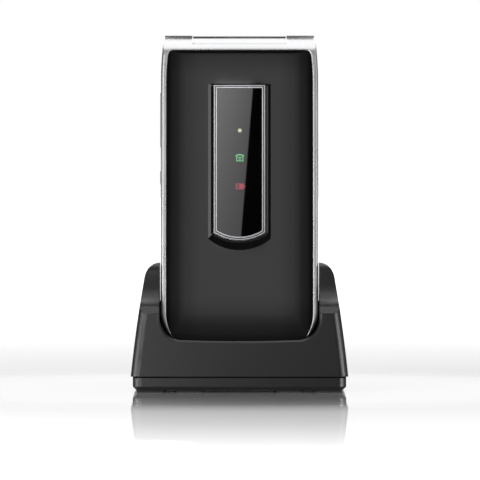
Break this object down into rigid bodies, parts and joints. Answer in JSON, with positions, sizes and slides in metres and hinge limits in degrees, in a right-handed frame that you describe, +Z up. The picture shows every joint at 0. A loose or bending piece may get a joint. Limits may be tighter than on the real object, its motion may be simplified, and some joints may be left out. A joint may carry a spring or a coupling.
{
  "type": "flip phone in charging cradle",
  "caption": "Closed clamshell phone with a smoked indicator window and barrel hinge, leaning in a low charging cradle with ears; lid, keys, battery cover and contacts move.",
  "frame": {"origin": "centre of the footprint of the cradle, on the surface its feet stand on", "axes": "+Z up, -Y towards the side that the closed phone's outer face looks to, +X to the viewer's right"},
  "size_m": [0.0728, 0.062, 0.1195],
  "materials": {
    "silver_case": "silver paint, satin",
    "black_gloss": "deep black, polished",
    "bright_trim": "bright plated",
    "window_glass": "smoked, polished",
    "circuit_board": "solder mask",
    "lamps": "clear resin",
    "display": "polished",
    "steel": "bright",
    "black_case": "fine satin",
    "cradle_plastic": "smooth satin",
    "rubber": "matt",
    "key_dark": "satin",
    "key_green": "satin",
    "key_red": "satin",
    "silver_keys": "silver paint",
    "battery_foil": "wrapped in film",
    "contact_gold": "gold plated"
  },
  "bodies": {
    "cradle": {"cradle_shell": "cradle_plastic", "cradle_base": "cradle_plastic", "cradle_feet": "rubber", "cradle_screws": "steel", "cradle_board": "circuit_board", "cradle_usb_socket": "steel", "contact_block": "cradle_plastic"},
    "keypad_half": {"keypad_case": "black_case", "rear_case": "black_case", "hinge_barrel": "silver_case", "hinge_cartridge": "steel", "hinge_bush": "black_case", "main_board": "circuit_board", "dome_sheet": "steel", "keymat": "rubber", "battery": "battery_foil", "loudspeaker": "steel", "camera_module": "black_case", "charge_pads": "contact_gold", "phone_usb_socket": "steel", "headphone_socket": "black_case", "case_screws": "steel"},
    "lid": {"lid_frame": "silver_case", "lid_panel": "black_gloss", "indicator_trim": "bright_trim", "indicator_window": "window_glass", "indicator_board": "circuit_board", "indicator_leds": "lamps", "lcd_module": "display", "earpiece": "steel", "lid_inner_cover": "black_case", "display_window": "window_glass", "lid_bumpers": "rubber", "lid_screws": "steel", "hinge_cam_pin": "steel", "hinge_pivot_tube": "steel"},
    "key_1": {"key_1": "key_dark"},
    "key_2": {"key_2": "key_dark"},
    "key_3": {"key_3": "key_dark"},
    "key_4": {"key_4": "key_dark"},
    "key_5": {"key_5": "key_dark"},
    "key_6": {"key_6": "key_dark"},
    "key_7": {"key_7": "key_dark"},
    "key_8": {"key_8": "key_dark"},
    "key_9": {"key_9": "key_dark"},
    "key_0": {"key_0": "key_dark"},
    "key_star": {"key_star": "key_dark"},
    "key_hash": {"key_hash": "key_dark"},
    "soft_key_left": {"soft_key_left": "key_dark"},
    "soft_key_right": {"soft_key_right": "key_dark"},
    "call_key": {"call_key": "key_green"},
    "end_key": {"end_key": "key_red"},
    "ok_key": {"ok_key": "key_dark"},
    "nav_rocker": {"nav_rocker": "bright_trim"},
    "volume_rocker": {"volume_rocker": "silver_keys"},
    "torch_key": {"torch_key": "silver_keys"},
    "sos_button": {"sos_button": "key_red"},
    "battery_cover": {"battery_cover": "black_case"},
    "contact_pin_left": {"contact_pin_left": "contact_gold"},
    "contact_pin_right": {"contact_pin_right": "contact_gold"}
  },
  "joints": [
    {"name": "phone_lift", "type": "slide", "parent": "cradle", "child": "keypad_half", "axis": [0, 0.1736, 0.9848], "range_m": [0, 0.06]},
    {"name": "lid_hinge", "type": "hinge", "parent": "keypad_half", "child": "lid", "pos_m": [0, 0.00478, 0.11445], "axis": [-1, 0, 0], "range_deg": [0, 150]},
    {"name": "battery_cover_off", "type": "slide", "parent": "keypad_half", "child": "battery_cover", "axis": [0, 0.9848, -0.1736], "range_m": [0, 0.018]},
    {"name": "key_1_press", "type": "slide", "parent": "keypad_half", "child": "key_1", "axis": [0, 0.9848, -0.1736], "range_m": [0, 0.00035], "stiffness_N_per_m": 1500},
    {"name": "key_2_press", "type": "slide", "parent": "keypad_half", "child": "key_2", "axis": [0, 0.9848, -0.1736], "range_m": [0, 0.00035], "stiffness_N_per_m": 1500},
    {"name": "key_3_press", "type": "slide", "parent": "keypad_half", "child": "key_3", "axis": [0, 0.9848, -0.1736], "range_m": [0, 0.00035], "stiffness_N_per_m": 1500},
    {"name": "key_4_press", "type": "slide", "parent": "keypad_half", "child": "key_4", "axis": [0, 0.9848, -0.1736], "range_m": [0, 0.00035], "stiffness_N_per_m": 1500},
    {"name": "key_5_press", "type": "slide", "parent": "keypad_half", "child": "key_5", "axis": [0, 0.9848, -0.1736], "range_m": [0, 0.00035], "stiffness_N_per_m": 1500},
    {"name": "key_6_press", "type": "slide", "parent": "keypad_half", "child": "key_6", "axis": [0, 0.9848, -0.1736], "range_m": [0, 0.00035], "stiffness_N_per_m": 1500},
    {"name": "key_7_press", "type": "slide", "parent": "keypad_half", "child": "key_7", "axis": [0, 0.9848, -0.1736], "range_m": [0, 0.00035], "stiffness_N_per_m": 1500},
    {"name": "key_8_press", "type": "slide", "parent": "keypad_half", "child": "key_8", "axis": [0, 0.9848, -0.1736], "range_m": [0, 0.00035], "stiffness_N_per_m": 1500},
    {"name": "key_9_press", "type": "slide", "parent": "keypad_half", "child": "key_9", "axis": [0, 0.9848, -0.1736], "range_m": [0, 0.00035], "stiffness_N_per_m": 1500},
    {"name": "key_0_press", "type": "slide", "parent": "keypad_half", "child": "key_0", "axis": [0, 0.9848, -0.1736], "range_m": [0, 0.00035], "stiffness_N_per_m": 1500},
    {"name": "key_star_press", "type": "slide", "parent": "keypad_half", "child": "key_star", "axis": [0, 0.9848, -0.1736], "range_m": [0, 0.00035], "stiffness_N_per_m": 1500},
    {"name": "key_hash_press", "type": "slide", "parent": "keypad_half", "child": "key_hash", "axis": [0, 0.9848, -0.1736], "range_m": [0, 0.00035], "stiffness_N_per_m": 1500},
    {"name": "soft_key_left_press", "type": "slide", "parent": "keypad_half", "child": "soft_key_left", "axis": [0, 0.9848, -0.1736], "range_m": [0, 0.00035], "stiffness_N_per_m": 1500},
    {"name": "soft_key_right_press", "type": "slide", "parent": "keypad_half", "child": "soft_key_right", "axis": [0, 0.9848, -0.1736], "range_m": [0, 0.00035], "stiffness_N_per_m": 1500},
    {"name": "call_key_press", "type": "slide", "parent": "keypad_half", "child": "call_key", "axis": [0, 0.9848, -0.1736], "range_m": [0, 0.00035], "stiffness_N_per_m": 1500},
    {"name": "end_key_press", "type": "slide", "parent": "keypad_half", "child": "end_key", "axis": [0, 0.9848, -0.1736], "range_m": [0, 0.00035], "stiffness_N_per_m": 1500},
    {"name": "ok_key_press", "type": "slide", "parent": "keypad_half", "child": "ok_key", "axis": [0, 0.9848, -0.1736], "range_m": [0, 0.00035], "stiffness_N_per_m": 1500},
    {"name": "nav_rocker_tilt", "type": "hinge", "parent": "keypad_half", "child": "nav_rocker", "pos_m": [0, 0.00041, 0.07815], "axis": [1, 0, 0], "range_deg": [-2, 2], "stiffness_Nm_per_rad": 0.2},
    {"name": "volume_rocker_tilt", "type": "hinge", "parent": "keypad_half", "child": "volume_rocker", "pos_m": [-0.02575, 0.00346, 0.09082], "axis": [0, 0.9848, -0.1736], "range_deg": [-1.8, 1.8], "stiffness_Nm_per_rad": 0.2},
    {"name": "torch_key_press", "type": "slide", "parent": "keypad_half", "child": "torch_key", "axis": [1, 0, 0], "range_m": [0, 0.00035], "stiffness_N_per_m": 1500},
    {"name": "sos_button_press", "type": "slide", "parent": "keypad_half", "child": "sos_button", "axis": [0, -0.9848, 0.1736], "range_m": [0, 0.0005], "stiffness_N_per_m": 1200},
    {"name": "contact_pin_left_travel", "type": "slide", "parent": "cradle", "child": "contact_pin_left", "axis": [0, 0.1736, 0.9848], "range_m": [-0.0008, 0], "stiffness_N_per_m": 300},
    {"name": "contact_pin_right_travel", "type": "slide", "parent": "cradle", "child": "contact_pin_right", "axis": [0, 0.1736, 0.9848], "range_m": [-0.0008, 0], "stiffness_N_per_m": 300}
  ]
}
